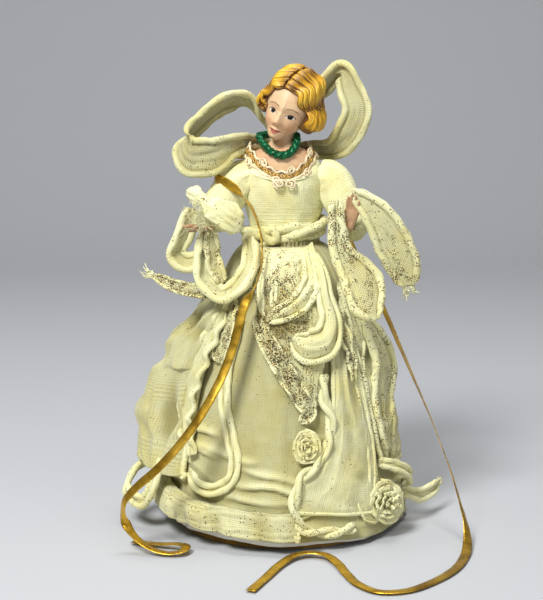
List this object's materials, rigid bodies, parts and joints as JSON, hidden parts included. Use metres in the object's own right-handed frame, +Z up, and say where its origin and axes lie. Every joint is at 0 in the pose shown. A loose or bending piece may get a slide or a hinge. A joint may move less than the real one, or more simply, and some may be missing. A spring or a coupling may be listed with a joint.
{
  "type": "angel tree topper",
  "caption": "Angel tree topper: cast head and hands on a hollow cardboard cone, dressed in starched gauze drapery, with bow-loop wings that fold back and a trailing gold ribbon.",
  "frame": {"origin": "on the surface it stands on, under the middle of the figure, with the ribbon's loose tails left out", "axes": "+Z up along the cone's axis, -Y towards the viewer, +X to the viewer's right"},
  "size_m": [0.2412, 0.2508, 0.3226],
  "materials": {
    "gauze": "open-weave cotton gauze stiffened with starch, with gold and brown glitter on its edges",
    "lining": "plain white cloth",
    "card": "gold-brown foil-faced card",
    "foam": "rigid foam",
    "skin_paint": "painted casting resin",
    "hair_paint": "painted casting resin, golden with brown in the grooves",
    "braid": "moulded scroll braid, cream with gilt edges",
    "green_tinsel": "green tinsel cord",
    "gold_foil": "metallic gold film",
    "wire": "bright iron wire"
  },
  "bodies": {
    "figure": {"cone_core": "card", "arm_wire": "wire", "bow_wire": "wire", "torso_form": "foam", "head_bust": "skin_paint", "hair": "hair_paint", "bodice": "gauze", "neckline_braid": "braid", "choker": "green_tinsel", "sleeve_left": "gauze", "sleeve_right": "gauze", "hand_left": "skin_paint", "hand_right": "skin_paint", "skirt_lining": "lining", "skirt": "gauze", "waist_sash": "gauze", "bow_knot": "gauze", "hand_wrap_left": "gauze", "hand_cascade_left": "gauze", "hand_loop_left": "gauze", "hand_loop_left_inner": "gauze", "hand_drop_right": "gauze", "hand_swag_right": "gauze", "frayed_tail_left": "gauze", "apron": "gauze", "apron_twist": "gauze", "sash_tail": "gauze", "side_panel_left": "gauze", "front_loop_left": "gauze", "hem_loop_left": "gauze", "side_fall_right": "gauze", "front_fold_right": "gauze", "back_fold": "gauze", "rosette_low": "gauze", "rosette_high": "gauze", "hem_loop_right": "gauze", "trail_tail_right": "gauze", "leaf_low": "gauze", "vine": "gauze", "ribbon_wrap": "gold_foil", "ribbon_front": "gold_foil", "ribbon_side": "gold_foil"},
    "wing_left": {"wing_loop_left": "gauze"},
    "wing_right": {"wing_loop_right": "gauze"}
  },
  "joints": [
    {"name": "wing_left_fold", "type": "hinge", "parent": "figure", "child": "wing_left", "pos_m": [0, 0.02804, 0.2663], "axis": [0, 0, -1], "range_deg": [0, 35]},
    {"name": "wing_right_fold", "type": "hinge", "parent": "figure", "child": "wing_right", "pos_m": [0, 0.02804, 0.2663], "axis": [0, 0, 1], "range_deg": [0, 35]}
  ]
}
